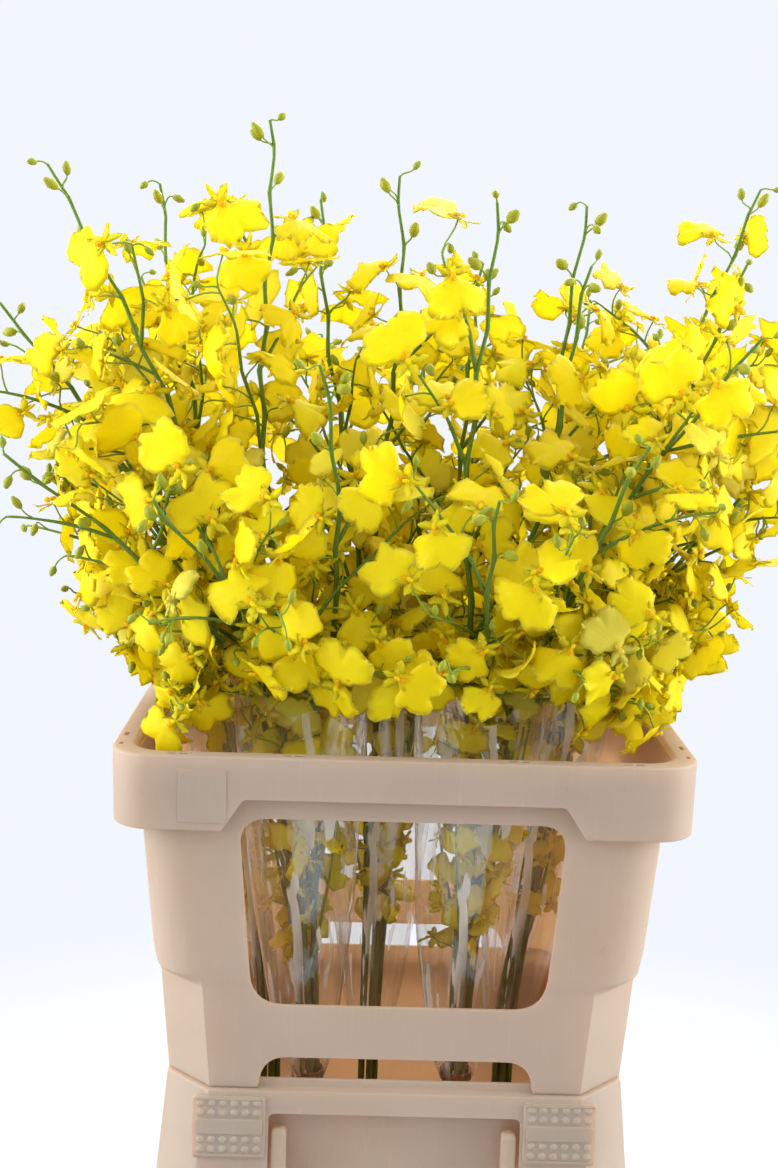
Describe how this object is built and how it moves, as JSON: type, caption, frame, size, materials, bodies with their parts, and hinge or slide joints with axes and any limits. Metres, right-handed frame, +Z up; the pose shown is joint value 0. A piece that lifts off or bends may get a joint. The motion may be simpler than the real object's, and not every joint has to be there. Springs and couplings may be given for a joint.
{
  "type": "oncidium orchid",
  "caption": "Sleeved bunches of cut oncidium orchid sprays, full of yellow two-lobed blooms, standing in a plastic flower bucket with a windowed stacking collar.",
  "frame": {"origin": "centre of the bucket's underside, where it stands", "axes": "+Z up along the flowers, +X to the right as seen from the front, the front window faces -Y"},
  "size_m": [0.6255, 0.4252, 0.98],
  "materials": {
    "bloom": "soft waxy yellow petals",
    "stem": "smooth green plant stem",
    "bucket_plastic": "matt moulded polypropylene, beige",
    "collar_plastic": "matt moulded polypropylene, pinkish beige",
    "water": "clear still water",
    "sleeve_film": "clear creased plastic film",
    "rubber_tie": "dull stretched rubber band"
  },
  "bodies": {
    "root": {"bucket": "bucket_plastic", "collar": "collar_plastic", "water": "water", "tie_back_left": "rubber_tie", "sleeve_back_left": "sleeve_film", "tie_front_left": "rubber_tie", "sleeve_front_left": "sleeve_film", "tie_mid_back": "rubber_tie", "sleeve_mid_back": "sleeve_film", "tie_front_right": "rubber_tie", "sleeve_front_right": "sleeve_film", "tie_back_right": "rubber_tie", "sleeve_back_right": "sleeve_film", "spray_01": "bloom", "spray_02": "bloom", "spray_03": "bloom", "spray_04": "bloom", "spray_05": "bloom", "spray_06": "bloom", "spray_07": "bloom", "spray_08": "bloom", "spray_09": "bloom", "spray_10": "bloom", "spray_11": "bloom", "spray_12": "bloom", "spray_13": "bloom", "spray_14": "bloom", "spray_15": "bloom", "spray_16": "bloom", "spray_17": "bloom", "spray_18": "bloom", "spray_19": "bloom", "spray_20": "bloom", "spray_21": "bloom", "spray_22": "bloom", "spray_23": "bloom", "spray_24": "bloom", "spray_25": "bloom", "spray_26": "bloom"}
  },
  "joints": []
}
